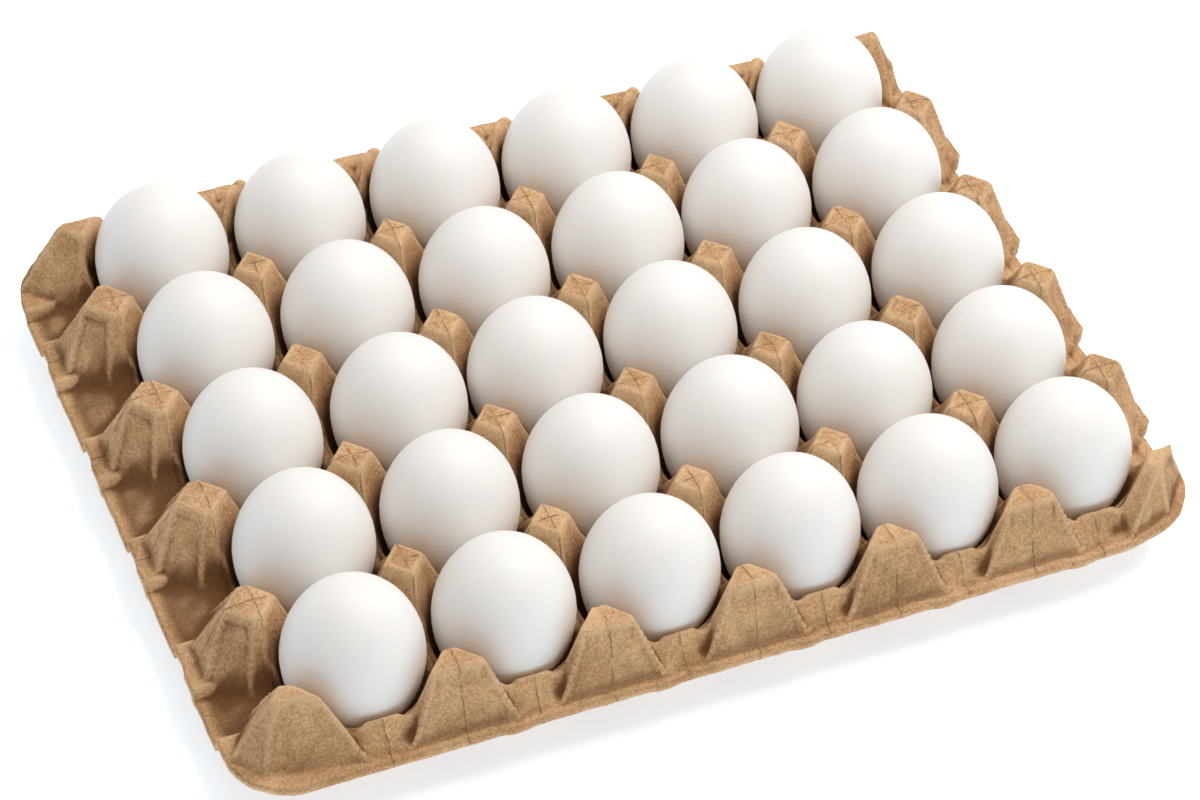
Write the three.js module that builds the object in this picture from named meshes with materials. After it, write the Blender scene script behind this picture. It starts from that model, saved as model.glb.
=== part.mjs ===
// A moulded pulp egg tray for six by five eggs, with an egg in every cup.
//
// Millimetres, +Z up. The origin is the middle of the tray's outline, on the table. +X runs along
// the six-egg side, and -Y is the front.

import * as THREE from "three";
import { mergeVertices } from "three/addons/utils/BufferGeometryUtils.js";

// The tray's plan.
const COLUMNS = 6; // cups along X
const ROWS = 5; // cups along Y
const PITCH_X = 48;
const PITCH_Y = 45.4;
const OUTLINE_X = 330; // over the rim
const OUTLINE_Y = 242;
const OUTLINE_CORNER = 21; // radius of the rim's corners
const GRID_X = 2; // the rim is wider at the left and the front, so the cups stand off its middle
const GRID_Y = 3.5;
const LEFT_POSTS_OUT = 2.5; // the posts of the two short sides stand this far outside the pitch
const RIGHT_POSTS_OUT = 1.2;
const BACK_POSTS_IN = 7.5; // the back posts stand closer to their eggs than the front ones
const CORNER_POSTS_IN = 4.5; // the front corner posts, behind the front line
const FRONT_CUPS_IN = 0.5; // the end rows of cups crowd towards the middle of the tray
const BACK_CUPS_IN = 0.8;
const RIGHT_CUPS_OUT = 1.2; // the last column stands a little apart

// Heights above the table.
const WALL = 2; // thickness of the pulp
const FLOOR = 2; // inside of a cup's bottom
const CREST = 24; // top of the low wall between two posts
const FRONT_CREST = 29.5; // the same at the front, where it shows under the eggs
const RIM = 21.7; // top of the flange
const SIDE_POCKET = 20.2; // pocket floor at the two short sides, a little under the flange
const POST_TOP = 44;

// The crest at the front and back bows out to this distance from the middle of its cup.
const FRONT_CREST_REACH = 23;
const BACK_CREST_REACH = 22.6;

// A post's flat top is a square standing on its corner. Along the front and the back it is cut
// down to a triangle.
const POST_HALF = 6.8; // middle of the top to a corner
const FRONT_POST_HALF = 8; // along the front
const RIDGE_RUN = 10; // how far a ridge runs out from the top's corner on its way down to the crest
const RIDGE_SHARE = 0.65; // where cups crowd, a ridge takes this share of the way to the crest
const FRONT_RIDGE_RUN = 7.3; // the same along the front, where the crest is high
const BACK_RIDGE_RUN = 8.5; // and along the back, where the posts crowd the eggs

// The outer faces of the rim posts: half width and distance inside the outline at their feet.
const FRONT_FOOT_HALF = 18.3;
const BACK_FOOT_HALF = 15.5;
const FRONT_FLANGE = 3.2;
const SIDE_FOOT_HALF = 7.5;
const SIDE_FLANGE = 5;
const CORNER_FLANGE = 5.5;
const CORNER_FOOT_END = 15.5; // a corner post's foot along the front or back
const CORNER_FOOT_SIDE = 10.5; // and along a short side
const CORNER_BENDS = [0.1, 0.5, 0.9]; // where the corner foot bends, as shares of the quarter turn
const FLANGE_DROP = 0.4; // the flange's outer edge hangs this far below its inner one

// A cup's inner wall: [radius, height] of the rings below the crest.
const CUP_SIDES = 16;
const CUP_WAIST = 22.7; // the cup's radius towards a post, at the crest's height
const BACK_WAIST = 23; // the same towards a post of the back line
const CUP_RINGS = [
  [19.5, 15],
  [13.5, 7],
  [7.5, FLOOR],
];

// An egg stands on its narrow end.
const EGG_RADIUS = 22;
const EGG_BLUNT = 27.3; // widest level up to the top
const EGG_NARROW = 31; // widest level down to the bottom
const EGG_TAPER = 0.05; // how much slimmer the narrow end is than a true ellipse
const EGG_GAP = 0.4; // between the egg and the floor of its cup
const EGG_SIDES = 12;
const EGG_LEVELS = 7;
const EGG_SHIFT = 0.25; // most that an egg is out of the middle of its cup
const EGG_LEAN = 0.8; // most that it leans, in degrees
const EGG_SPREAD = 0.01; // most that its size differs from the rest

const pulp = new THREE.MeshStandardMaterial({ color: 0xa67d55, roughness: 0.95, metalness: 0 });
const shell = new THREE.MeshStandardMaterial({ color: 0xf3f1ee, roughness: 0.55, metalness: 0 });

// ---------------------------------------------------------------- places of cups and posts

function cupCentre(column, row) {
  let x = GRID_X + (column - (COLUMNS - 1) / 2) * PITCH_X;
  let y = GRID_Y + (row - (ROWS - 1) / 2) * PITCH_Y;
  if (column === COLUMNS - 1) x += RIGHT_CUPS_OUT;
  if (row === 0) y += FRONT_CUPS_IN;
  if (row === ROWS - 1) y -= BACK_CUPS_IN;
  return new THREE.Vector2(x, y);
}

// Which way out of the tray a post faces: -1, 0 or 1 along X and along Y.
function outward(i, j) {
  const x = i === 0 ? -1 : i === COLUMNS ? 1 : 0;
  const y = j === 0 ? -1 : j === ROWS ? 1 : 0;
  return { x, y };
}

function postCentre(i, j) {
  const out = outward(i, j);
  let x = GRID_X + (i - COLUMNS / 2) * PITCH_X;
  let y = GRID_Y + (j - ROWS / 2) * PITCH_Y;
  if (out.y === 0 && out.x < 0) x -= LEFT_POSTS_OUT;
  if (out.y >= 0 && out.x > 0) x += RIGHT_POSTS_OUT;
  if (out.y > 0) y -= BACK_POSTS_IN;
  if (out.y < 0 && out.x !== 0) y += CORNER_POSTS_IN;
  return new THREE.Vector2(x, y);
}

// The corner of a post's top in the direction (dx, dy), along one of the post lines.
function topCorner(i, j, dx, dy) {
  const out = outward(i, j);
  const centre = postCentre(i, j);
  const front = out.y < 0 && out.x === 0;
  let reach = front && dx !== 0 ? FRONT_POST_HALF : POST_HALF;
  if (out.y !== 0 && dy === out.y) reach = 0;
  return new THREE.Vector3(centre.x + dx * reach, centre.y + dy * reach, POST_TOP);
}

// The middle of the edge of a post's top that faces a cup.
function topEdge(i, j, dx, dy) {
  return topCorner(i, j, dx, 0).lerp(topCorner(i, j, 0, dy), 0.5);
}

// The middle of the crest on one side (dx, dy) of a cup.
function crestMiddle(column, row, dx, dy) {
  const cup = cupCentre(column, row);
  const neighbour = cupCentre(column + dx, row + dy);
  const inside = column + dx >= 0 && column + dx < COLUMNS && row + dy >= 0 && row + dy < ROWS;
  if (inside) {
    const middle = cup.clone().lerp(neighbour, 0.5);
    return new THREE.Vector3(middle.x, middle.y, CREST);
  }
  if (dy < 0) return new THREE.Vector3(cup.x, cup.y - FRONT_CREST_REACH, FRONT_CREST);
  if (dy > 0) return new THREE.Vector3(cup.x, cup.y + BACK_CREST_REACH, CREST);
  return new THREE.Vector3(cup.x + (dx * PITCH_X) / 2, cup.y, CREST);
}

// The foot of the ridge that runs from the post (i, j) towards the crest on side (dx, dy) of a cup.
function ridgeFoot(column, row, dx, dy, i, j) {
  const crest = crestMiddle(column, row, dx, dy);
  const along = new THREE.Vector2(Math.abs(dy), Math.abs(dx));
  const centre = postCentre(i, j);
  const side = Math.sign((crest.x - centre.x) * along.x + (crest.y - centre.y) * along.y);
  const corner = topCorner(i, j, side * along.x, side * along.y);
  const far = Math.abs((crest.x - corner.x) * along.x + (crest.y - corner.y) * along.y);
  let wanted = RIDGE_RUN;
  if (j === ROWS && dy > 0) wanted = BACK_RIDGE_RUN;
  if (j === 0 && dy < 0) wanted = FRONT_RIDGE_RUN;
  const run = Math.min(wanted, far * RIDGE_SHARE);
  const point = new THREE.Vector3(
    corner.x + side * run * along.x,
    corner.y + side * run * along.y,
    crest.z,
  );
  // Across the line it lies with the crest, which bows away from the post line at the rim.
  if (dx !== 0) point.x = crest.x;
  else point.y = crest.y;
  return point;
}

// ---------------------------------------------------------------- the tray's upper face

const corners = [];

// A face of the upper surface, always seen from above.
function face(a, b, c) {
  const turn = (b.x - a.x) * (c.y - a.y) - (b.y - a.y) * (c.x - a.x);
  corners.push(a, ...(turn > 0 ? [b, c] : [c, b]));
}

function strip(outer, inner, closed) {
  const count = closed ? outer.length : outer.length - 1;
  for (let k = 0; k < count; k++) {
    const next = (k + 1) % outer.length;
    face(outer[k], outer[next], inner[next]);
    face(outer[k], inner[next], inner[k]);
  }
}

const QUARTERS = [
  { side: [1, 0], corner: [1, 1] },
  { side: [0, 1], corner: [-1, 1] },
  { side: [-1, 0], corner: [-1, -1] },
  { side: [0, -1], corner: [1, -1] },
];

// One cup: the low crests and post flanks around it, and its wall down to the floor.
function addCup(column, row) {
  const cup = cupCentre(column, row);
  const waist = [];
  for (const [q, { side, corner }] of QUARTERS.entries()) {
    const next = QUARTERS[(q + 1) % QUARTERS.length].side;
    const i = column + (corner[0] > 0 ? 1 : 0);
    const j = row + (corner[1] > 0 ? 1 : 0);
    const footBefore = ridgeFoot(column, row, side[0], side[1], i, j);
    const footAfter = ridgeFoot(column, row, next[0], next[1], i, j);
    const waistRadius = j === ROWS ? BACK_WAIST : CUP_WAIST;
    const toPost = postCentre(i, j).sub(cup).setLength(waistRadius);
    const hollow = new THREE.Vector3(cup.x + toPost.x, cup.y + toPost.y, CREST);
    const edge = topEdge(i, j, -corner[0], -corner[1]);
    const onColumnLine = topCorner(i, j, 0, -corner[1]);
    const onRowLine = topCorner(i, j, -corner[0], 0);
    const [before, after] = side[0] !== 0 ? [onColumnLine, onRowLine] : [onRowLine, onColumnLine];
    face(footBefore, before, edge);
    face(footBefore, edge, hollow);
    face(hollow, edge, footAfter);
    face(footAfter, edge, after);
    waist.push(crestMiddle(column, row, side[0], side[1]), footBefore, hollow, footAfter);
  }
  let ring = waist;
  for (const [radius, height] of CUP_RINGS) {
    const lower = [];
    for (let k = 0; k < CUP_SIDES; k++) {
      const angle = (2 * Math.PI * k) / CUP_SIDES;
      const x = cup.x + radius * Math.cos(angle);
      const y = cup.y + radius * Math.sin(angle);
      lower.push(new THREE.Vector3(x, y, height));
    }
    strip(ring, lower, true);
    ring = lower;
  }
  const middle = new THREE.Vector3(cup.x, cup.y, FLOOR);
  for (let k = 0; k < CUP_SIDES; k++) face(middle, ring[k], ring[(k + 1) % CUP_SIDES]);
}

// The flat top of a post that has a cup on all four sides.
function addInnerTop(i, j) {
  const centre = postCentre(i, j);
  const middle = new THREE.Vector3(centre.x, centre.y, POST_TOP);
  for (const [q, { side, corner }] of QUARTERS.entries()) {
    const next = QUARTERS[(q + 1) % QUARTERS.length].side;
    const edge = topEdge(i, j, corner[0], corner[1]);
    face(middle, topCorner(i, j, side[0], side[1]), edge);
    face(middle, edge, topCorner(i, j, next[0], next[1]));
  }
}

// ---------------------------------------------------------------- the rim

// The point of the outline, inset by a margin, that lies straight out from the given one.
function onOutline(point, inset) {
  const halfX = OUTLINE_X / 2;
  const halfY = OUTLINE_Y / 2;
  const arcX = halfX - OUTLINE_CORNER;
  const arcY = halfY - OUTLINE_CORNER;
  const signX = Math.sign(point.x);
  const signY = Math.sign(point.y);
  const overX = Math.abs(point.x) - arcX;
  const overY = Math.abs(point.y) - arcY;
  if (overX > 0 && overY > 0) {
    const angle = Math.atan2(overY, overX);
    const radius = OUTLINE_CORNER - inset;
    return [
      signX * (arcX + radius * Math.cos(angle)),
      signY * (arcY + radius * Math.sin(angle)),
    ];
  }
  if (halfX - Math.abs(point.x) < halfY - Math.abs(point.y)) return [signX * (halfX - inset), point.y];
  return [point.x, signY * (halfY - inset)];
}

// The feet of the rim, in order round the tray from the front left corner, each with its flange.
const feet = [];
const edges = [];

function addFoot(x, y, height, flange) {
  const [footX, footY] = onOutline({ x, y }, flange);
  const foot = new THREE.Vector3(footX, footY, height);
  const [edgeX, edgeY] = onOutline(foot, 0);
  feet.push(foot);
  edges.push(new THREE.Vector3(edgeX, edgeY, height - FLANGE_DROP));
  return foot;
}

// A post at the corner of the tray. Its foot is bent round the corner.
function addCornerPost(i, j, before, after) {
  const out = outward(i, j);
  const outerX = topCorner(i, j, out.x, 0);
  const outerY = topCorner(i, j, 0, out.y);
  const [first, second] = before[1] !== 0 ? [outerY, outerX] : [outerX, outerY];
  const beforeTop = topCorner(i, j, before[1] !== 0 ? -out.x : 0, before[0] !== 0 ? -out.y : 0);
  const afterTop = topCorner(i, j, after[1] !== 0 ? -out.x : 0, after[0] !== 0 ? -out.y : 0);
  const start = footAlong(i, j, before, -1);
  const arcX = out.x * (OUTLINE_X / 2 - OUTLINE_CORNER);
  const arcY = out.y * (OUTLINE_Y / 2 - OUTLINE_CORNER);
  const from = Math.atan2(before[1], before[0]);
  const bend = [];
  for (const share of CORNER_BENDS) {
    const angle = from + (share * Math.PI) / 2;
    const x = arcX + OUTLINE_CORNER * Math.cos(angle);
    const y = arcY + OUTLINE_CORNER * Math.sin(angle);
    bend.push(addFoot(x, y, RIM, CORNER_FLANGE));
  }
  const end = footAlong(i, j, after, 1);
  face(beforeTop, start, first);
  face(first, start, bend[0]);
  face(first, bend[0], bend[1]);
  face(first, bend[1], second);
  face(second, bend[1], bend[2]);
  face(second, bend[2], end);
  face(second, end, afterTop);
  const inner = topEdge(i, j, -out.x, -out.y);
  face(first, second, inner);
  face(first, inner, beforeTop);
  face(second, afterTop, inner);
  return { start, end };
}

// A foot on the side (dx, dy) of the tray, before (-1) or after (1) its post going round.
function footAlong(i, j, side, turn) {
  const centre = postCentre(i, j);
  const isCorner = outward(i, j).x !== 0 && outward(i, j).y !== 0;
  let reach = isCorner ? CORNER_FOOT_SIDE : SIDE_FOOT_HALF;
  if (side[1] !== 0 && isCorner) reach = CORNER_FOOT_END;
  else if (side[1] !== 0) reach = side[1] < 0 ? FRONT_FOOT_HALF : BACK_FOOT_HALF;
  const x = centre.x - turn * side[1] * reach;
  const y = centre.y + turn * side[0] * reach;
  const flange = side[1] !== 0 ? FRONT_FLANGE : SIDE_FLANGE;
  const halfX = OUTLINE_X / 2;
  const halfY = OUTLINE_Y / 2;
  return addFoot(side[0] !== 0 ? side[0] * halfX : x, side[1] !== 0 ? side[1] * halfY : y, RIM, flange);
}

// A post in the middle of a side: its top, and the face that slopes out to the flange.
function addSidePost(i, j, side) {
  const beforeTop = topCorner(i, j, side[1], -side[0]);
  const afterTop = topCorner(i, j, -side[1], side[0]);
  const outerTop = topCorner(i, j, side[0], side[1]);
  const innerTop = topCorner(i, j, -side[0], -side[1]);
  const start = footAlong(i, j, side, -1);
  const end = footAlong(i, j, side, 1);
  face(outerTop, start, end);
  face(beforeTop, start, outerTop);
  face(outerTop, end, afterTop);
  const edgeBefore = topEdge(i, j, side[1] - side[0], -side[0] - side[1]);
  const edgeAfter = topEdge(i, j, -side[1] - side[0], side[0] - side[1]);
  face(outerTop, beforeTop, edgeBefore);
  face(outerTop, edgeBefore, innerTop);
  face(outerTop, innerTop, edgeAfter);
  face(outerTop, edgeAfter, afterTop);
  return { start, end };
}

// The four sides in order round the tray, each with its posts and cups in the same order.
const SIDES = [
  { side: [0, -1], count: COLUMNS, post: (k) => [k, 0], cup: (k) => [k, 0] },
  { side: [1, 0], count: ROWS, post: (k) => [COLUMNS, k], cup: (k) => [COLUMNS - 1, k] },
  {
    side: [0, 1],
    count: COLUMNS,
    post: (k) => [COLUMNS - k, ROWS],
    cup: (k) => [COLUMNS - 1 - k, ROWS - 1],
  },
  { side: [-1, 0], count: ROWS, post: (k) => [0, ROWS - k], cup: (k) => [0, ROWS - 1 - k] },
];

// The pocket between two rim posts: a floor that runs out under the crest, and a wall at each end.
function addPocket(run, k, startFoot, middleFoot, endFoot) {
  const [dx, dy] = run.side;
  const [column, row] = run.cup(k);
  const [i0, j0] = run.post(k);
  const [i1, j1] = run.post(k + 1);
  const crest = crestMiddle(column, row, dx, dy);
  const first = ridgeFoot(column, row, dx, dy, i0, j0);
  const last = ridgeFoot(column, row, dx, dy, i1, j1);
  face(crest, first, startFoot);
  face(crest, startFoot, middleFoot);
  face(crest, middleFoot, endFoot);
  face(crest, endFoot, last);
  face(topCorner(i0, j0, -dy, dx), startFoot, first);
  face(topCorner(i1, j1, dy, -dx), last, endFoot);
}

function addRim() {
  const pockets = [];
  let open = null;
  let firstStart = null;
  for (const [s, run] of SIDES.entries()) {
    const [ci, cj] = run.post(0);
    const before = SIDES[(s + SIDES.length - 1) % SIDES.length].side;
    const corner = addCornerPost(ci, cj, before, run.side);
    if (open) open.last = corner.start;
    else firstStart = corner.start;
    let start = corner.end;
    for (let k = 0; k < run.count; k++) {
      const crest = crestMiddle(...run.cup(k), ...run.side);
      const x = run.side[0] !== 0 ? (run.side[0] * OUTLINE_X) / 2 : crest.x;
      const y = run.side[1] !== 0 ? (run.side[1] * OUTLINE_Y) / 2 : crest.y;
      const height = run.side[0] !== 0 ? SIDE_POCKET : RIM;
      const middle = addFoot(x, y, height, run.side[0] !== 0 ? SIDE_FLANGE : FRONT_FLANGE);
      open = { run, k, start, middle, last: null };
      pockets.push(open);
      if (k < run.count - 1) {
        const post = addSidePost(...run.post(k + 1), run.side);
        open.last = post.start;
        start = post.end;
      }
    }
  }
  open.last = firstStart;
  for (const p of pockets) addPocket(p.run, p.k, p.start, p.middle, p.last);
  strip(edges, feet, true);
}

// ---------------------------------------------------------------- the shell of pulp

// Each point of the lower face lies one wall under all the upper faces that meet above it, by least
// squares. STEADY keeps that solvable where those faces all lie in one plane.
const STEADY = 0.02;
function underside(points, triangles) {
  const sums = points.map(() => ({ matrix: new Float64Array(6), side: new THREE.Vector3() }));
  for (const triangle of triangles) {
    const [a, b, c] = triangle.map((k) => points[k]);
    const normal = b.clone().sub(a).cross(c.clone().sub(a)).normalize();
    for (const k of triangle) {
      const sum = sums[k];
      sum.matrix[0] += normal.x * normal.x;
      sum.matrix[1] += normal.x * normal.y;
      sum.matrix[2] += normal.x * normal.z;
      sum.matrix[3] += normal.y * normal.y;
      sum.matrix[4] += normal.y * normal.z;
      sum.matrix[5] += normal.z * normal.z;
      sum.side.addScaledVector(normal, -WALL);
    }
  }
  return points.map((point, k) => {
    const m = sums[k].matrix;
    const s = sums[k].side;
    const matrix = new THREE.Matrix3().set(
      m[0] + STEADY, m[1], m[2],
      m[1], m[3] + STEADY, m[4],
      m[2], m[4], m[5] + STEADY,
    );
    return s.clone().applyMatrix3(matrix.invert()).add(point);
  });
}

function trayGeometry() {
  for (let column = 0; column < COLUMNS; column++) {
    for (let row = 0; row < ROWS; row++) addCup(column, row);
  }
  for (let i = 1; i < COLUMNS; i++) {
    for (let j = 1; j < ROWS; j++) addInnerTop(i, j);
  }
  addRim();
  const soup = new THREE.BufferGeometry().setFromPoints(corners);
  const upper = mergeVertices(soup, 1e-3);
  const position = upper.getAttribute("position");
  const index = Array.from(upper.index.array);
  const points = [];
  for (let k = 0; k < position.count; k++) {
    points.push(new THREE.Vector3().fromBufferAttribute(position, k));
  }
  const triangles = [];
  for (let k = 0; k < index.length; k += 3) triangles.push(index.slice(k, k + 3));
  const lower = underside(points, triangles);
  for (const point of lower) point.z = Math.max(point.z, 0);
  const shift = points.length;
  const faces = [];
  const open = new Map();
  for (const [a, b, c] of triangles) {
    faces.push(a, b, c, a + shift, c + shift, b + shift);
    for (const [p, q] of [[a, b], [b, c], [c, a]]) {
      if (open.has(q + "," + p)) open.delete(q + "," + p);
      else open.set(p + "," + q, [p, q]);
    }
  }
  // The cut edge of the rim joins the two faces.
  for (const [p, q] of open.values()) faces.push(p, p + shift, q, q, p + shift, q + shift);
  const geometry = new THREE.BufferGeometry().setFromPoints([...points, ...lower]);
  geometry.setIndex(faces);
  geometry.computeVertexNormals();
  return geometry;
}

// ---------------------------------------------------------------- the eggs

function eggGeometry() {
  const profile = [];
  for (let k = 0; k <= EGG_LEVELS; k++) {
    const angle = -Math.PI / 2 + (Math.PI * k) / EGG_LEVELS;
    const up = Math.sin(angle);
    const height = up * (up > 0 ? EGG_BLUNT : EGG_NARROW);
    const slim = up < 0 ? 1 + EGG_TAPER * up : 1;
    const radius = k === 0 || k === EGG_LEVELS ? 0 : EGG_RADIUS * Math.cos(angle) * slim;
    profile.push(new THREE.Vector2(radius, height + EGG_NARROW));
  }
  return new THREE.LatheGeometry(profile, EGG_SIDES).rotateX(Math.PI / 2);
}

// A repeatable draw between -1 and 1.
let seed = 20;
function draw() {
  seed = (seed * 16807) % 2147483647;
  return (2 * seed) / 2147483647 - 1;
}

const tray = new THREE.Mesh(trayGeometry(), pulp);
tray.name = "tray";

const part = new THREE.Group();
part.add(tray);

const egg = eggGeometry();
for (let row = 0; row < ROWS; row++) {
  for (let column = 0; column < COLUMNS; column++) {
    const cup = cupCentre(column, row);
    const mesh = new THREE.Mesh(egg, shell);
    mesh.name = "egg_" + String(row * COLUMNS + column + 1).padStart(2, "0");
    mesh.position.set(cup.x + EGG_SHIFT * draw(), cup.y + EGG_SHIFT * draw(), FLOOR + EGG_GAP);
    mesh.rotation.x = THREE.MathUtils.degToRad(EGG_LEAN * draw());
    mesh.rotation.y = THREE.MathUtils.degToRad(EGG_LEAN * draw());
    mesh.scale.setScalar(1 + EGG_SPREAD * draw());
    part.add(mesh);
  }
}

export default part;
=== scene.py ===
import math

import bpy
import numpy as np
from mathutils import Matrix, Vector


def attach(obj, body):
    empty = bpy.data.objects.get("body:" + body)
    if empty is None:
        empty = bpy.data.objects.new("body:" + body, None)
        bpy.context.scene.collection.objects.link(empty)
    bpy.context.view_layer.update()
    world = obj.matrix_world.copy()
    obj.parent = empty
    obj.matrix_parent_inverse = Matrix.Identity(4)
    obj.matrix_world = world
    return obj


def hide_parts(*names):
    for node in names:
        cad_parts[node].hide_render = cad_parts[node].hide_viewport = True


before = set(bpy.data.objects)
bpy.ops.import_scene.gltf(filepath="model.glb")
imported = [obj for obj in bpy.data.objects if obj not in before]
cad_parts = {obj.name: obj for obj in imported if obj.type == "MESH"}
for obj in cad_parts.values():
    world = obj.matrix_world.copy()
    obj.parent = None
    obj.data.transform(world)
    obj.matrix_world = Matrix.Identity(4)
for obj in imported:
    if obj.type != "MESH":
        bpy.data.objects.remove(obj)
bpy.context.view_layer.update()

MM = 0.001


# ------------------------------------------------------------------ viewpoint
# The tray is seen from above its front left corner, with the picture turned a little
# on the lens axis. A long lens a good metre away keeps the rows of eggs nearly parallel.
VIEW_AZIMUTH = math.radians(-26.92)
VIEW_ELEVATION = math.radians(45.96)
VIEW_ROLL = math.radians(5.17)
VIEW_DISTANCE = 1143 * MM
VIEW_TARGET = Vector((-12.05, -23.87, 44)) * MM
LENS = 108.4

back = Vector((
    math.sin(VIEW_AZIMUTH) * math.cos(VIEW_ELEVATION),
    -math.cos(VIEW_AZIMUTH) * math.cos(VIEW_ELEVATION),
    math.sin(VIEW_ELEVATION),
))
right = Vector((math.cos(VIEW_AZIMUTH), math.sin(VIEW_AZIMUTH), 0))
up = back.cross(right)
rolled_right = right * math.cos(VIEW_ROLL) + up * math.sin(VIEW_ROLL)
rolled_up = up * math.cos(VIEW_ROLL) - right * math.sin(VIEW_ROLL)
bpy.ops.object.camera_add()
camera = bpy.context.object
camera.name = "camera"
camera.data.lens = LENS
camera.data.sensor_width = 36
camera.data.clip_start = 0.01
camera.matrix_world = Matrix.Translation(VIEW_TARGET + back * VIEW_DISTANCE) @ Matrix((
    rolled_right, rolled_up, back,
)).transposed().to_4x4()
bpy.context.scene.camera = camera


# ------------------------------------------------------------------ tray
# One sheet of paper pulp, sucked onto a wire mould and dried: thirty cups, a hollow post at
# every crossing of the grid, and a flange all round. About 2 mm thick, soft at every edge, with
# fine cracks where the pieces of the mould met.
COLUMNS, ROWS = 6, 5
PITCH_X, PITCH_Y = 48.0, 45.4
HALF_X, HALF_Y = 165.0, 121.0
GRID_X, GRID_Y = 2.0, 3.5
OUTLINE_CORNER = 21.0
WALL = 2.0
FLOOR = 2.0
CREST, FRONT_CREST = 24.0, 30.7
RIM, RIM_WIDTH = 21.7, 3.2
SIDE_POCKET, TAB_LIP = 17.4, 2.2
RIGHT_COLUMN_OUT, RIGHT_POSTS_OUT = 1.2, 1.2
LEFT_POSTS_OUT = 2.5
FRONT_ROW_IN, FRONT_CORNERS_IN = 0.5, 4.5
BACK_ROW_IN, BACK_LINE_IN = 0.8, 7.5
BACK_POSTS_OUT, BACK_POSTS_LOW = 1.7, 1.0
POST_TOP, POST_DOME = 44.0, 0.012
POST_HALF, WIDE_POST_HALF = 6.8, 8.0
RIDGE_SLOPE, WIDE_RIDGE_SLOPE = 2.0, 2.45
CUP_WAIST, CUP_CURVE = 22.7, 3.1
FLANK_SLOPE, FRONT_STEEPER, BACK_STEEPER = 3.64, 1.8, 18.0
FRONT_SNUG = 1.2
DIP_DEPTH, KNUCKLE_TOP = 3.0, 38.6
RIM_INSET, RAGGED = 0.6, 0.2
RIGHT_NOTCH, CORNER_NOTCH = 2.8, 1.6
CUT_X, CUT_Y = 2.2, 3.4

column_x = [GRID_X + (i - (COLUMNS - 1) / 2) * PITCH_X for i in range(COLUMNS)]
column_x[-1] += RIGHT_COLUMN_OUT
row_y = [GRID_Y + (j - (ROWS - 1) / 2) * PITCH_Y for j in range(ROWS)]
row_y[0] += FRONT_ROW_IN
row_y[-1] -= BACK_ROW_IN
line_x = [GRID_X + (i - COLUMNS / 2) * PITCH_X for i in range(COLUMNS + 1)]
line_y = [GRID_Y + (j - ROWS / 2) * PITCH_Y for j in range(ROWS + 1)]
line_y[-1] -= BACK_LINE_IN


def smooth_min(a, b, soft):
    """The lower of two heights, with the edge between them rounded off."""
    share = np.clip(0.5 + 0.5 * (b - a) / soft, 0, 1)
    return b + (a - b) * share - soft * share * (1 - share)


def smooth_max(a, b, soft):
    return -smooth_min(-a, -b, soft)


def step(value, low, high):
    """Nought below the low end, one above the high end, and a smooth ramp between."""
    t = np.clip((value - low) / (high - low), 0, 1)
    return t * t * (3 - 2 * t)


def grain(x, y, size, layer):
    """Smooth uneven relief between -1 and 1, its hills about one size apart."""
    cell_x, cell_y = np.floor(x / size), np.floor(y / size)
    share_x, share_y = step(x / size - cell_x, 0, 1), step(y / size - cell_y, 0, 1)
    values = []
    for add_y in (0, 1):
        for add_x in (0, 1):
            mixed = np.sin((cell_x + add_x) * 127.1 + (cell_y + add_y) * 311.7 + layer * 74.7) * 43758.55
            values.append(2 * (mixed - np.floor(mixed)) - 1)
    near = values[0] + (values[1] - values[0]) * share_x
    far = values[2] + (values[3] - values[2]) * share_x
    return near + (far - near) * share_y


def from_edge(x, y):
    """How far inside the tray's outline a point lies."""
    over_x = np.abs(x) - (HALF_X - OUTLINE_CORNER)
    over_y = np.abs(y) - (HALF_Y - OUTLINE_CORNER)
    outside = np.hypot(np.maximum(over_x, 0), np.maximum(over_y, 0))
    return OUTLINE_CORNER - outside - np.minimum(np.maximum(over_x, over_y), 0)


def side_tab(x, y):
    """One where the flange of a short side stands up as a tab under a post, nought between."""
    half = np.where(x > 0, 9.8, 9.2)
    tab = np.maximum(1 - step(y, -94, -92.6), step(y, 95.6, 97))
    for py in line_y[1:-1]:
        tab = np.maximum(tab, 1 - step(np.abs(y - py), half, half + 1))
    return tab


def cup_height(x, y, column, row):
    """The wall of one cup: a bowl up to the crest, then the steep flanks of its four posts."""
    dx, dy = np.abs(x - column_x[column]), np.abs(y - row_y[row])
    radius = np.hypot(dx, dy)
    if row == 0:
        ahead = np.clip((row_y[0] - y) / np.maximum(radius, 1), 0, 1)
        radius = radius + FRONT_SNUG * ahead ** 3
    slope = FLANK_SLOPE
    if row == 0:
        slope = FLANK_SLOPE + FRONT_STEEPER * step(row_y[row] - y, 8, 14)
    if row == ROWS - 1:
        slope = FLANK_SLOPE + BACK_STEEPER * step(y - row_y[row], 4, 11)
    flat = (dx * PITCH_X + dy * PITCH_Y) / math.hypot(PITCH_X, PITCH_Y)
    cone = CREST + slope * (radius - CUP_WAIST)
    slant = step(2 * dx * dy / np.maximum(radius, 1) ** 2, 0.25, 0.75)
    share = 0.75 * slant * step(cone, CREST + 1, CREST + 14)
    spread = radius - share * (radius - flat)
    bowl = FLOOR + (CREST - FLOOR) * np.minimum(radius / CUP_WAIST, 1) ** CUP_CURVE
    return np.where(radius < CUP_WAIST, bowl, CREST + slope * np.maximum(spread - CUP_WAIST, 0))


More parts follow.
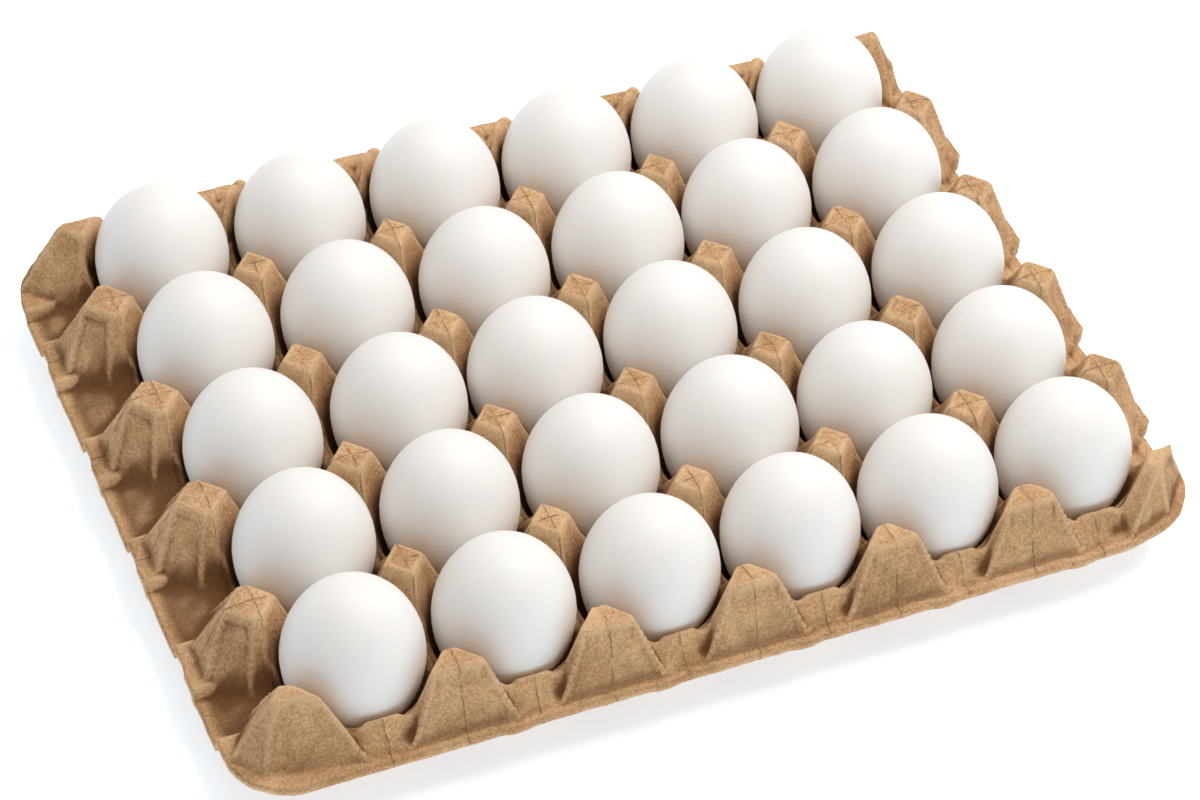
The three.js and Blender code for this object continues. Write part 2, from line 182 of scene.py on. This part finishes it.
def post_height(x, y, i, j):
    """One post, as the sharp pyramid that the cups round it are then cut out of. A side post has
    a sunk panel on its outer face, and a front or back post a bead down each outer edge."""
    out_x = -1 if i == 0 else 1 if i == COLUMNS else 0
    out_y = -1 if j == 0 else 1 if j == ROWS else 0
    px, py, top = line_x[i], line_y[j], POST_TOP
    half_x, slope_x = POST_HALF, RIDGE_SLOPE
    if out_x < 0 and not out_y:
        px -= LEFT_POSTS_OUT
    if out_x > 0 and out_y >= 0:
        px += RIGHT_POSTS_OUT
    if out_x and out_y < 0:
        py += FRONT_CORNERS_IN
    if out_y and not out_x:
        half_x, slope_x = WIDE_POST_HALF, WIDE_RIDGE_SLOPE
    if out_y > 0 and not out_x:
        py += BACK_POSTS_OUT
        top -= BACK_POSTS_LOW
    dx, dy = x - px, y - py
    fall_x = top - slope_x * (np.abs(dx) - half_x)
    fall_y = top - RIDGE_SLOPE * (np.abs(dy) - POST_HALF)
    edge = from_edge(x, y)
    height = top - POST_DOME * (dx ** 2 + dy ** 2)
    if not out_x:
        height = smooth_min(height, fall_x, 0.9)
    if not out_y:
        height = smooth_min(height, fall_y, 0.9)
    if out_x and not out_y:
        foot, diagonal_slope, panel_depth = (4.6, 1.377, 1.3) if out_x < 0 else (3.0, 1.2, 0.5)
        face = RIM + (edge - foot) * (top - RIM) / (HALF_X - abs(px) - POST_HALF - foot)
        diagonal = top - diagonal_slope * (out_x * dx + np.abs(dy) - POST_HALF)
        wrinkle = 1.1 * np.abs(grain(x * 0.8 + y * 0.6, y * 0.8 - x * 0.6, 4.5, 7 + j)) - 0.4
        height = smooth_min(height, face, 0.7)
        height = smooth_min(height, diagonal, 0.4)
        panel = step(np.minimum(face, fall_y) - diagonal, 0.2, 2.6) * step(top - diagonal, 0.8, 2.4)
        height = height - panel * (panel_depth - 0.5 * wrinkle)
    if out_y and not out_x:
        face = RIM + (edge - RIM_WIDTH) * (top - RIM) / (HALF_Y - abs(py) - RIM_WIDTH)
        height = smooth_min(height, face, 0.7)
        inward = 2.2 * (dy - 8) if out_y < 0 else 1.8 * (-dy - 3)
        height = smooth_min(height, top - inward, 0.9)
        bead = np.exp(-(np.abs(face - fall_x) / 2.4) ** 2)
        height = height + 1.2 * bead * step(top - height, 1, 4)
        pit = np.exp(-((np.abs(dx) - half_x + 0.6) ** 2 + (out_y * dy - 0.9) ** 2) / 1.1)
        height = height - 1.6 * pit
    if out_x and out_y:
        # u and v point outwards, and the faces of each corner lean their own way. The two falls
        # hold only on the inner sides: beyond them the height is free.
        u, v = out_x * dx, out_y * dy
        bead_height = 1.3
        if out_y > 0:
            ahead = top - 2.3 * (v - 0.6)
            beside = top - 1.9 * (0.8 * (u - 6) + 0.6 * (v + 1.2))
            diagonal = top - 1.25 * (u - v - POST_HALF)
            bead_height = 0.8
        elif out_x < 0:
            fall_x = top - 1.9 * (-u - 5.2)
            ahead = top - 2.4 * (0.2 * u + 0.98 * v + 0.5)
            beside = top - 2.14 * (0.757 * u + 0.653 * v - 4.1)
            diagonal = top - 1.62 * u + 1.3 * v + 15.8
        else:
            fall_x = top - 1.72 * (0.61 * v - 0.79 * u - 5)
            ahead = top - 3.2 * (0.12 * u + 0.99 * v - 4.3)
            beside = top - 2.2 * (0.785 * u + 0.619 * v - 1.3)
            diagonal = top - 1.4 * (u - v - POST_HALF)
        half_y = POST_HALF if out_x < 0 else 2.2
        fall_y = top - RIDGE_SLOPE * (-v - half_y)
        free = top + 9
        height = smooth_min(height, np.where(u < 0, fall_x, free), 0.7)
        height = smooth_min(height, np.where(v < 0, fall_y, free), 0.9)
        for face in (ahead, beside, diagonal):
            height = smooth_min(height, face, 0.6)
        wrinkle = 0.8 * np.abs(grain(x, y, 4.8, 3)) - 0.3
        height = height + wrinkle * step(top - height, 2, 6) * (1 - step(top - height, 18, 21))
        bead = 0
        for one, other, width in ((ahead, beside, 2.2), (ahead, fall_x, 2.4), (diagonal, beside, 2.0)):
            bead = bead + np.exp(-((one - other) / width) ** 2)
        height = height + bead_height * bead * step(top - height, 1, 4)
    return height


def tray_height(x, y):
    """The upper side of the tray as a height over the table, with a dip in the rim to the left of
    each front post and a knuckle to the right of each back post."""
    in_x, in_y = HALF_X - np.abs(x), HALF_Y - np.abs(y)
    tab = side_tab(x, y)
    side_floor = SIDE_POCKET + (RIM - SIDE_POCKET) * tab + TAB_LIP * tab * (1 - tab)
    side_width = np.where(x > 0, 12.8, 18)
    sides = side_floor + (CREST - side_floor) * np.clip((in_x - 5) / side_width, 0, 1)
    front = (FRONT_CREST - RIM) * np.clip((in_y - RIM_WIDTH) / 8, 0, 1)
    front = front - (FRONT_CREST - CREST) * step(in_y, 14, 20)
    corner_end = np.where(x < 0, 41, 35)
    front = RIM + front * step(in_x, corner_end - 7, corner_end)
    rear = RIM + (CREST - RIM) * np.clip((in_y - RIM_WIDTH) / 1.7, 0, 1)
    ends = np.where(y < 0, front, rear)
    share = step(in_x, 20, 26)
    height = smooth_min(sides, ends, 0.8) * (1 - share) + ends * share
    for i in range(COLUMNS + 1):
        for j in range(ROWS + 1):
            height = smooth_max(height, post_height(x, y, i, j), 0.8)
    for column in range(COLUMNS):
        for row in range(ROWS):
            height = smooth_min(height, cup_height(x, y, column, row), 1.0)
    for px in line_x[1:]:
        dip = np.exp(-((x - px + 16.5) / 3.6) ** 2 - ((y - line_y[0] + 4) / 2.6) ** 2)
        height = height - DIP_DEPTH * dip
    for px in line_x[1:-1]:
        knuckle = KNUCKLE_TOP - 0.28 * (x - px - 10.4) ** 2 - 0.5 * (y - 116.4) ** 2
        height = smooth_max(height, knuckle, 0.8)
    return height


def spaced(marks, low, high, near=17.0, fine=0.95, coarse=2.1):
    """Grid lines that crowd round the post lines, with every post line among them."""
    lines = [low]
    stops = [low, *marks, high]
    for start, end in zip(stops, stops[1:]):
        pieces = [(start, end, fine)]
        if start in marks and end in marks and end - start > 2 * near:
            pieces = [(start, start + near, fine), (start + near, end - near, coarse)]
            pieces.append((end - near, end, fine))
        for a, b, size in pieces:
            count = 2 * max(1, round((b - a) / size / 2))
            lines += [a + (b - a) * k / count for k in range(1, count + 1)]
    return np.array(lines)


grid_x = spaced(line_x, -HALF_X, HALF_X)
grid_y = spaced(line_y, -HALF_Y, HALF_Y)
nx, ny = len(grid_x), len(grid_y)
flat_x, flat_y = np.meshgrid(grid_x, grid_y)

# The square corners of the grid are drawn in to the rounded corners of the outline.
arc_x, arc_y = HALF_X - OUTLINE_CORNER, HALF_Y - OUTLINE_CORNER
over_x = np.clip(np.abs(flat_x) - arc_x, 0, None) / OUTLINE_CORNER
over_y = np.clip(np.abs(flat_y) - arc_y, 0, None) / OUTLINE_CORNER
in_corner = (over_x > 0) & (over_y > 0)
round_x = np.sign(flat_x) * (arc_x + OUTLINE_CORNER * over_x * np.sqrt(1 - over_y ** 2 / 2))
round_y = np.sign(flat_y) * (arc_y + OUTLINE_CORNER * over_y * np.sqrt(1 - over_x ** 2 / 2))
top_x = np.where(in_corner, round_x, flat_x)
top_y = np.where(in_corner, round_y, flat_y)
top_z = tray_height(top_x, top_y)
uneven = 0.22 * grain(top_x, top_y, 6.5, 1) + 0.16 * grain(top_x, top_y, 2.7, 2)
top_z = top_z + np.where(top_z > CREST - 6, uneven, 0) - 0.1

# How hollow or sharp the surface is round each point, for the painted shade in its hollows and the
# painted highlight on its sharp edges. The depths of the cups, the inner side of the back posts and
# the left pockets get extra painted shade, and the faces of the two left corners get less.
NEAR, FAR, DIRECTIONS = 1.5, 6.0, 8
near, far = 0, 0
for k in range(DIRECTIONS):
    turn_x, turn_y = math.cos(k * math.tau / DIRECTIONS), math.sin(k * math.tau / DIRECTIONS)
    near = near + tray_height(top_x + NEAR * turn_x, top_y + NEAR * turn_y) / DIRECTIONS
    far = far + tray_height(top_x + FAR * turn_x, top_y + FAR * turn_y) / DIRECTIONS
inside = from_edge(top_x, top_y)
# Painted shade in creases, from how far the surface lies below its close surroundings.
hollow = np.minimum((near - top_z) / 1.2, 0.5 + step(inside, 5, 8))
# Wider painted shade below higher surroundings, and a painted highlight where the surface stands above
# them.
hollow = hollow + step(far - top_z, 0, 6) * step(inside, 3, 8) - 0.3 * step(top_z - far, 2, 8)
# Painted shade deep in the cups.
hollow = hollow + 0.7 * step(40 - top_z, 2, 16) * step(inside, 13, 20)
# Painted shade on the inner side of the back posts.
back_flank = step(top_y, 97, 101) * step(inside, 5, 8) * (1 - step(np.abs(top_x), 138, 146))
hollow = hollow + 0.85 * back_flank * step(44 - top_z, 0, 3)
# Painted shade on the floors of the left pockets.
side_pocket = (1 - side_tab(top_x, top_y)) * step(-top_x, 120, 130) * step(inside, 0.5, 4)
hollow = hollow + 0.5 * side_pocket * (1 - step(top_z, 24, 31))
# Less painted shade on the faces of the two left corners.
left_corners = step(-top_x, 126, 134) * step(np.abs(top_y), 98, 104) * step(inside, 2, 5)
hollow = hollow - np.maximum(hollow, 0) * np.where(top_y < 0, 0.75, 0.4) * left_corners
hollow = np.clip(hollow, -1, 1)

# The underside lies one wall below: the lowest that a ball of that radius can roll under.
low_x, low_y = top_x[::2, ::2], top_y[::2, ::2]
low_z = tray_height(low_x, low_y) - WALL
for ring, count in ((0.5, 6), (0.85, 10), (1.0, 12)):
    for k in range(count):
        angle = 2 * math.pi * k / count
        px = low_x + WALL * ring * math.cos(angle)
        py = low_y + WALL * ring * math.sin(angle)
        low_z = np.minimum(low_z, tray_height(px, py) - WALL * math.sqrt(1 - ring ** 2))
low_z = np.maximum(low_z, 0) - 0.9 * (1 - step(from_edge(low_x, low_y), 0.5, 3))

# The trimmed rim is a little ragged. Lumps stand out beside the front and left posts. Between
# the tabs of the right side and at the back right corner it has shrunk inwards, and the front
# right corner is cut closer.
trimmed = []
for x, y in ((top_x, top_y), (low_x, low_y)):
    lump = np.zeros_like(x)
    for px in line_x[1:-1]:
        lump = np.maximum(lump, 1 - step(np.abs(x - px - 16), 2, 6))
    lump = np.where(y < 0, lump * step(-y, 112, 118), 0)
    for py in line_y[1:-1]:
        lump = np.maximum(lump, (1 - step(np.abs(y - py + 5), 3, 6)) * step(-x, 155, 162))
    ragged = RAGGED + RAGGED * grain(x + y, x - y, 4.2, 5)
    inset = (RIM_INSET + ragged) * (1 - lump)
    close = 1 - step(from_edge(x, y), 1, 9)
    open_side = np.maximum(1 - side_tab(x, y), CORNER_NOTCH * step(y, 88, 96))
    notch = RIGHT_NOTCH * open_side * step(x, 146, 162)
    out_x = np.sign(x) * np.maximum(np.abs(x) - arc_x, 0)
    out_y = np.sign(y) * np.maximum(np.abs(y) - arc_y, 0)
    toward_x = np.where(HALF_X - np.abs(x) < HALF_Y - np.abs(y), np.sign(x), 0)
    toward_y = np.where(toward_x == 0, np.sign(y), 0)
    both = (out_x != 0) & (out_y != 0)
    length = np.hypot(out_x, out_y) + 1e-9
    way_x = np.where(both, out_x / length, toward_x)
    way_y = np.where(both, out_y / length, toward_y)
    cut = step(x - y, 248, 272)
    trimmed += [
        x - way_x * inset * close - notch - CUT_X * cut,
        y - way_y * inset * close + CUT_Y * cut,
    ]
top_x, top_y, low_x, low_y = trimmed

# Both skins are split into triangles along the flatter diagonal and sewn together at the rim,
# where two short edges above meet one long edge below.
points = np.concatenate([
    np.stack([top_x, top_y, top_z], -1).reshape(-1, 3),
    np.stack([low_x, low_y, low_z], -1).reshape(-1, 3),
]) * MM
mx, my = low_x.shape[1], low_x.shape[0]
faces = []
for r in range(ny - 1):
    for c in range(nx - 1):
        a, b = r * nx + c, r * nx + c + 1
        d, e = a + nx, b + nx
        if abs(top_z[r, c] - top_z[r + 1, c + 1]) < abs(top_z[r, c + 1] - top_z[r + 1, c]):
            faces += [(a, b, e), (a, e, d)]
        else:
            faces += [(a, b, d), (b, e, d)]
start = nx * ny
for r in range(my - 1):
    for c in range(mx - 1):
        a, b = start + r * mx + c, start + r * mx + c + 1
        d, e = a + mx, b + mx
        if abs(low_z[r, c] - low_z[r + 1, c + 1]) < abs(low_z[r, c + 1] - low_z[r + 1, c]):
            faces += [(a, e, b), (a, d, e)]
        else:
            faces += [(a, d, b), (b, d, e)]
rim_top = list(range(nx)) + [r * nx + nx - 1 for r in range(1, ny)]
rim_top += [(ny - 1) * nx + c for c in range(nx - 2, -1, -1)] + [r * nx for r in range(ny - 2, 0, -1)]
rim_low = list(range(mx)) + [r * mx + mx - 1 for r in range(1, my)]
rim_low += [(my - 1) * mx + c for c in range(mx - 2, -1, -1)] + [r * mx for r in range(my - 2, 0, -1)]
for k in range(len(rim_low)):
    t0, t1, t2 = (rim_top[(2 * k + n) % len(rim_top)] for n in range(3))
    u0, u1 = start + rim_low[k], start + rim_low[(k + 1) % len(rim_low)]
    faces += [(t0, u0, t1), (t1, u0, u1), (t1, u1, t2)]
tray_mesh = bpy.data.meshes.new("pulp_tray")
tray_mesh.from_pydata(points.tolist(), [], faces)
tray_mesh.update()
tray = bpy.data.objects.new("pulp_tray", tray_mesh)
bpy.context.collection.objects.link(tray)
tray_mesh.polygons.foreach_set("use_smooth", [True] * len(tray_mesh.polygons))

# The painted shade and painted highlight go to the material as a point attribute.
attribute = tray_mesh.attributes.new("hollow", "FLOAT", "POINT")
hollow_values = np.concatenate([hollow.ravel(), np.zeros(low_z.size)]).astype(np.float32)
attribute.data.foreach_set("value", hollow_values)

pulp = bpy.data.materials.new("pulp")
pulp.use_nodes = True
nodes, links = pulp.node_tree.nodes, pulp.node_tree.links
shader = nodes["Principled BSDF"]
shader.inputs["Roughness"].default_value = 0.92
shader.inputs["Specular IOR Level"].default_value = 0.15
coords = nodes.new("ShaderNodeTexCoord")


def plug(value, socket):
    if isinstance(value, bpy.types.NodeSocket):
        links.new(value, socket)
    else:
        socket.default_value = value


def maths(operation, first, second=0.0, third=0.0):
    node = nodes.new("ShaderNodeMath")
    node.operation = operation
    for value, socket in zip((first, second, third), node.inputs):
        plug(value, socket)
    return node.outputs[0]


def ranged(value, low, high, out_low=0.0, out_high=1.0):
    node = nodes.new("ShaderNodeMapRange")
    node.interpolation_type = "SMOOTHSTEP"
    for part, socket in zip((value, low, high, out_low, out_high), node.inputs):
        plug(part, socket)
    return node.outputs[0]


def cloud(scale, detail, stretch=(1, 1, 1), turn=(0, 0, 0), roughness=0.55):
    place = nodes.new("ShaderNodeMapping")
    place.inputs["Scale"].default_value = stretch
    place.inputs["Rotation"].default_value = turn
    links.new(coords.outputs["Object"], place.inputs["Vector"])
    noise = nodes.new("ShaderNodeTexNoise")
    noise.inputs["Scale"].default_value = scale
    noise.inputs["Detail"].default_value = detail
    noise.inputs["Roughness"].default_value = roughness
    links.new(place.outputs["Vector"], noise.inputs["Vector"])
    return noise.outputs["Fac"]


def mixed(share, first, second, blend="MIX"):
    node = nodes.new("ShaderNodeMix")
    node.data_type = "RGBA"
    node.blend_type = blend
    plug(share, node.inputs[0])
    plug(first, node.inputs[6])
    plug(second, node.inputs[7])
    return node.outputs[2]


# Cracks along the post lines and down the middle of the front pockets, none at the back edge
# or down the front corner posts.
split = nodes.new("ShaderNodeSeparateXYZ")
links.new(coords.outputs["Object"], split.inputs[0])
wander = maths("MULTIPLY_ADD", cloud(150, 2), 0.0016, -0.0008)
across = maths("ADD", split.outputs["X"], wander)
along = maths("SUBTRACT", split.outputs["Y"], wander)
from_column = maths("PINGPONG", maths("SUBTRACT", across, line_x[3] * MM), PITCH_X / 2 * MM)
at_corner = ranged(maths("ABSOLUTE", split.outputs["X"]), 0.13, 0.134)
at_corner = maths("MULTIPLY", at_corner, ranged(split.outputs["Y"], -0.096, -0.099))
from_column = maths("MULTIPLY_ADD", at_corner, 0.02, from_column)
from_middle = maths("PINGPONG", maths("SUBTRACT", across, column_x[3] * MM), PITCH_X / 2 * MM)
from_row = maths("PINGPONG", maths("SUBTRACT", along, line_y[1] * MM), PITCH_Y / 2 * MM)
at_front = ranged(split.outputs["Y"], -0.1085, -0.1105)
from_middle = maths("ADD", from_middle, maths("MULTIPLY", maths("SUBTRACT", 1.0, at_front), 0.02))
past_front = ranged(split.outputs["Y"], -0.1, -0.103, 0.0, 0.02)
from_row = maths("MULTIPLY_ADD", from_row, 0.8, past_front)
nearest = maths("MINIMUM", maths("MINIMUM", from_column, from_row), from_middle)
before_back = ranged(split.outputs["Y"], 0.1, 0.098)
broken = maths("MULTIPLY", ranged(cloud(170, 3), 0.4, 0.6, 0.1, 0.8), before_back)
crack = maths("MULTIPLY", ranged(nearest, 0.00022, 0.00006), broken)
lip = maths("MULTIPLY", ranged(nearest, 0.0009, 0.0003), maths("SUBTRACT", 1.0, crack))

# Kraft brown, clouded, with paler fibres and dark specks, painted shade in hollows and a painted
# highlight on sharp edges.
fibres = maths("MAXIMUM", cloud(420, 4, (1, 5, 2), (0, 0, 0.6)), cloud(380, 4, (5, 1, 2), (0, 0.4, 0.5)))
specks = cloud(1100, 2)
tone = maths("MULTIPLY_ADD", cloud(55, 4), 1.1, -0.55)
tone = maths("ADD", tone, maths("MULTIPLY_ADD", cloud(300, 4), 0.5, -0.25))
tone = maths("ADD", tone, maths("MULTIPLY_ADD", cloud(1200, 3), 1.3, -0.65))
tone = maths("ADD", tone, maths("MULTIPLY_ADD", fibres, 0.7, -0.39))
tone = maths("ADD", tone, 0.5)
colour = mixed(ranged(tone, -0.1, 1.1), (0.40, 0.208, 0.088, 1), (0.81, 0.515, 0.285, 1))
colour = mixed(ranged(specks, 0.63, 0.72, 0.0, 0.35), colour, (0.2, 0.11, 0.05, 1))
colour = mixed(ranged(specks, 0.36, 0.28, 0.0, 0.35), colour, (0.72, 0.52, 0.33, 1))
painted_shade_and_highlight = nodes.new("ShaderNodeAttribute")
painted_shade_and_highlight.attribute_name = "hollow"
# Painted shade where the surface is hollow.
colour = mixed(ranged(painted_shade_and_highlight.outputs["Fac"], 0.0, 1.0, 0.0, 0.88), colour, (0.16, 0.064, 0.02, 1))
# Painted highlight where the surface is sharp.
colour = mixed(ranged(painted_shade_and_highlight.outputs["Fac"], -0.1, -0.8, 0.0, 0.4), colour, (0.85, 0.59, 0.36, 1))
colour = mixed(maths("MULTIPLY", crack, 0.5), colour, (0.12, 0.055, 0.02, 1))
plug(colour, shader.inputs["Base Color"])

relief = maths("MULTIPLY_ADD", cloud(600, 5), 0.6, maths("MULTIPLY", fibres, 0.5))
relief = maths("MULTIPLY_ADD", crack, -0.5, maths("MULTIPLY_ADD", lip, 0.2, relief))
bump = nodes.new("ShaderNodeBump")
bump.inputs["Strength"].default_value = 1.0
bump.inputs["Distance"].default_value = 0.0009
plug(relief, bump.inputs["Height"])
links.new(bump.outputs["Normal"], shader.inputs["Normal"])
tray_mesh.materials.append(pulp)
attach(tray, "root")
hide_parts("tray")


# ------------------------------------------------------------------ eggs
# Thirty white hen's eggs, each on its narrow end in a cup and leaning a little its own way.
# The shell is smooth, between matt and satin.
EGG_RADIUS, EGG_BLUNT, EGG_NARROW = 22.0, 27.3, 31.0
EGG_TAPER = 0.05
EGG_GAP = 0.4
EGG_SHIFT, EGG_LEAN, EGG_SPREAD = 0.25, 0.8, 0.01

shell = bpy.data.materials.new("eggshell")
shell.use_nodes = True
shell_shader = shell.node_tree.nodes["Principled BSDF"]
shell_shader.inputs["Base Color"].default_value = (0.91, 0.885, 0.855, 1)
shell_shader.inputs["Roughness"].default_value = 0.5
shell_shader.inputs["Specular IOR Level"].default_value = 0.35
shell_shader.inputs["Subsurface Weight"].default_value = 0.4
shell_shader.inputs["Subsurface Radius"].default_value = (1.0, 0.55, 0.35)
shell_shader.inputs["Subsurface Scale"].default_value = 0.009

bpy.ops.mesh.primitive_uv_sphere_add(segments=48, ring_count=32, radius=1)
egg_pattern = bpy.context.object
for vertex in egg_pattern.data.vertices:
    level = vertex.co.z
    width = EGG_RADIUS * (1 + EGG_TAPER * min(level, 0))
    reach = EGG_BLUNT if level > 0 else EGG_NARROW
    vertex.co = Vector((vertex.co.x * width, vertex.co.y * width, level * reach + EGG_NARROW)) * MM
bpy.ops.object.shade_smooth()

draw_seed = 20


def draw():
    """A repeatable draw between -1 and 1."""
    global draw_seed
    draw_seed = draw_seed * 16807 % 2147483647
    return 2 * draw_seed / 2147483647 - 1


for row in range(ROWS):
    for column in range(COLUMNS):
        number = row * COLUMNS + column + 1
        x, y = column_x[column] + EGG_SHIFT * draw(), row_y[row] + EGG_SHIFT * draw()
        lean_x, lean_y = math.radians(EGG_LEAN * draw()), math.radians(EGG_LEAN * draw())
        size = 1 + EGG_SPREAD * draw()
        egg = egg_pattern.copy()
        egg.data = egg_pattern.data.copy()
        egg.name = "white_egg_%02d" % number
        bpy.context.collection.objects.link(egg)
        place = Matrix.Translation(Vector((x, y, FLOOR + EGG_GAP)) * MM)
        turn = Matrix.Rotation(lean_x, 4, "X") @ Matrix.Rotation(lean_y, 4, "Y")
        egg.data.transform(place @ turn @ Matrix.Scale(size, 4))
        egg.data.materials.append(shell)
        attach(egg, "root")
        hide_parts("egg_%02d" % number)
bpy.data.objects.remove(egg_pattern)


# ------------------------------------------------------------------ floor and light
# A bright white table top that fades its own shadows, one wide soft lamp on the right and a
# smaller one behind.
bpy.ops.mesh.primitive_plane_add(size=6, location=(0, 0, 0))
floor = bpy.context.object
floor.name = "floor"
white = bpy.data.materials.new("white_floor")
white.use_nodes = True
white_shader = white.node_tree.nodes["Principled BSDF"]
white_shader.inputs["Base Color"].default_value = (0.88, 0.93, 0.97, 1)
white_shader.inputs["Roughness"].default_value = 0.9
white_shader.inputs["Emission Color"].default_value = (0.8, 0.91, 1, 1)
white_shader.inputs["Emission Strength"].default_value = 0.61
floor.data.materials.append(white)

world = bpy.data.worlds.new("studio")
bpy.context.scene.world = world
world.use_nodes = True
world.node_tree.nodes["Background"].inputs["Color"].default_value = (1, 1, 1, 1)
world.node_tree.nodes["Background"].inputs["Strength"].default_value = 0.4


def soft_light(name, place, size, power):
    bpy.ops.object.light_add(type="AREA", location=place)
    light = bpy.context.object
    light.name = name
    light.data.size = size
    light.data.energy = power
    light.rotation_euler = (-Vector(place)).to_track_quat("-Z", "Y").to_euler()


soft_light("key", (0.5, 0.02, 1.3), 0.9, 13.3)
soft_light("rear", (-0.1, 0.6, 1.2), 0.8, 2.5)
bpy.context.scene.view_settings.view_transform = "Standard"
